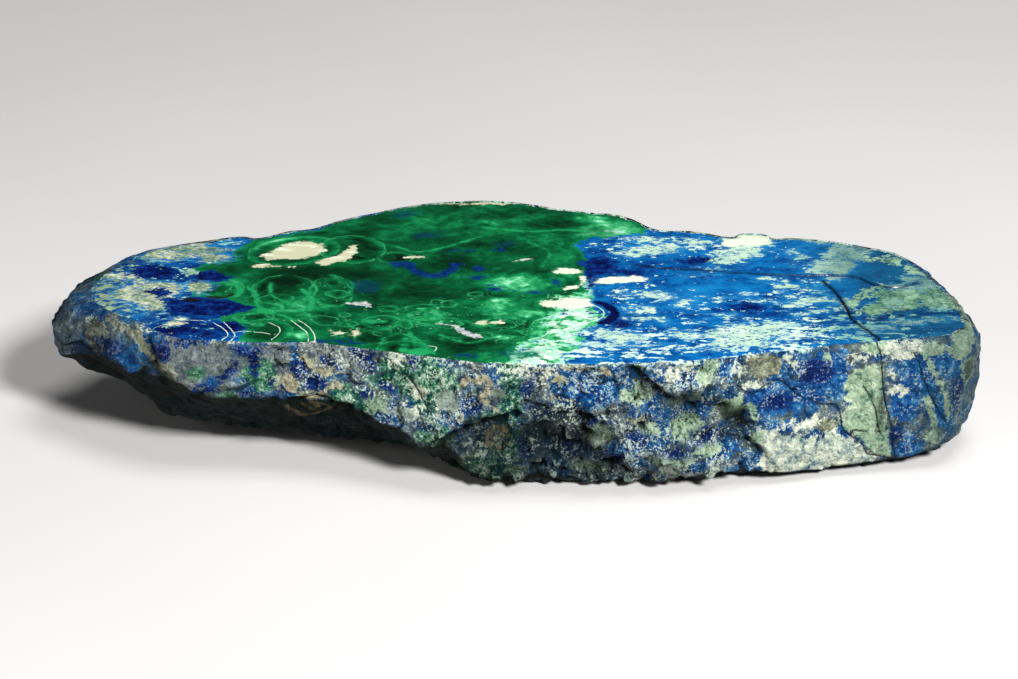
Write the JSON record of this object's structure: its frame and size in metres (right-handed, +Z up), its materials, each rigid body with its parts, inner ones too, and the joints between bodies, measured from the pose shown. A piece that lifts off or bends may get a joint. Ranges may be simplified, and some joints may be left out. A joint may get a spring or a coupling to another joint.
{
  "type": "polished malachite and azurite slab specimen",
  "caption": "Long broken slab of copper ore with one flat polished face, rough sides and a tapered end; a display specimen that rests on its worn underside.",
  "frame": {"origin": "middle of the stone's box in X and Y, on the surface that it rests on", "axes": "+X along the stone's length towards its thick blunt end, -Y towards its front side, +Z up out of the polished face"},
  "size_m": [0.2478, 0.1174, 0.038],
  "materials": {
    "stone": "polished top face of banded green malachite beside blue azurite with pale mint and cream patches; rough mottled blue, pale green, grey and tan rind on the sides and underside"
  },
  "bodies": {
    "root": {"stone": "stone"}
  },
  "joints": []
}
